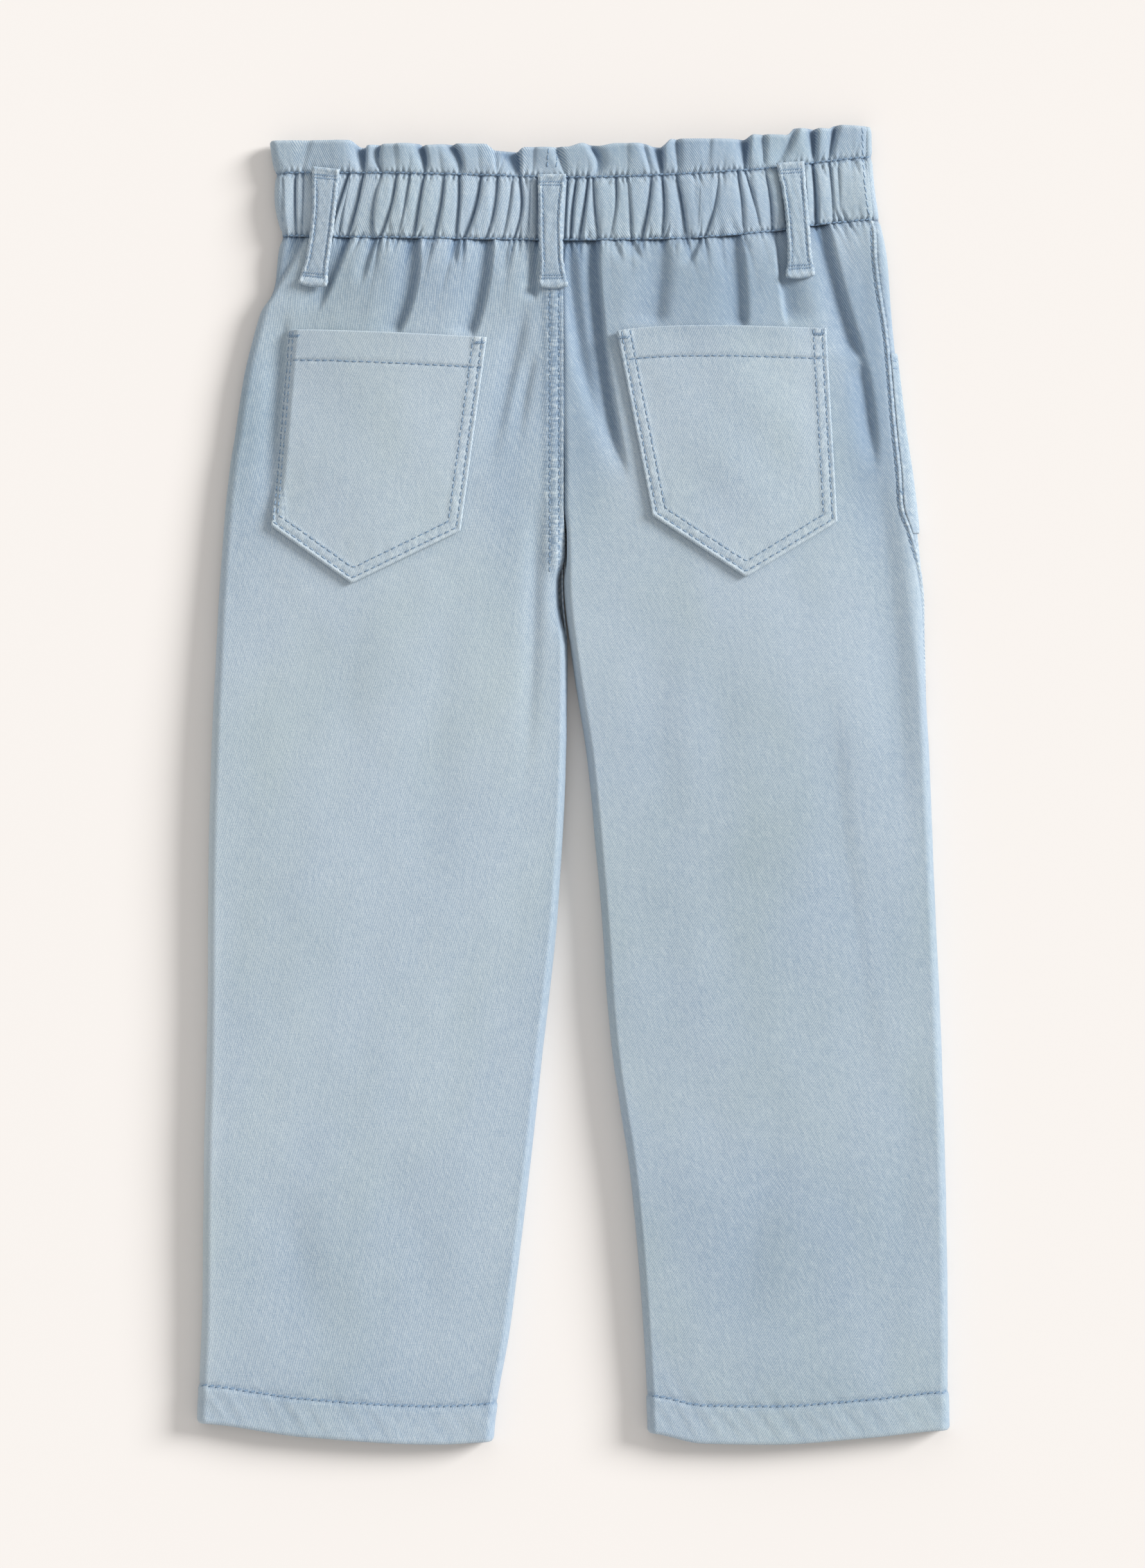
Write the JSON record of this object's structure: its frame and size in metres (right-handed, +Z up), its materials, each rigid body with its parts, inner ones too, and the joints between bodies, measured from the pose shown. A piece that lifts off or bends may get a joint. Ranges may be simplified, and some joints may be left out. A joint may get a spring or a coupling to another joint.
{
  "type": "child's pull-on jeans, laid flat",
  "caption": "Child's light blue twill pull-on jeans with a gathered paperbag waist, belt loops and patch pockets, lying flat with the back up.",
  "frame": {"origin": "under the middle of the garment's box, on the surface it lies on", "axes": "+Y from the hems to the waist, +X to the wearer's right, +Z up out of the surface, through the garment's back"},
  "size_m": [0.3362, 0.5896, 0.0163],
  "materials": {
    "twill": "light blue cotton twill, matt, garment washed",
    "band_twill": "the same twill, gathered over elastic",
    "pocket_twill": "the same twill, a little more worn",
    "loop_twill": "the same twill with worn edges",
    "thread": "matt sewing thread, a little darker than the cloth"
  },
  "bodies": {
    "root": {"back_left": "twill", "back_right": "twill", "front_left": "twill", "front_right": "twill", "waistband_back": "band_twill", "waistband_front": "band_twill", "pocket_back_left": "pocket_twill", "pocket_back_right": "pocket_twill", "pocket_front_left": "pocket_twill", "pocket_front_right": "pocket_twill", "loop_back_left": "loop_twill", "loop_back_centre": "loop_twill", "loop_back_right": "loop_twill", "loop_front_left": "loop_twill", "loop_front_right": "loop_twill"}
  },
  "joints": []
}
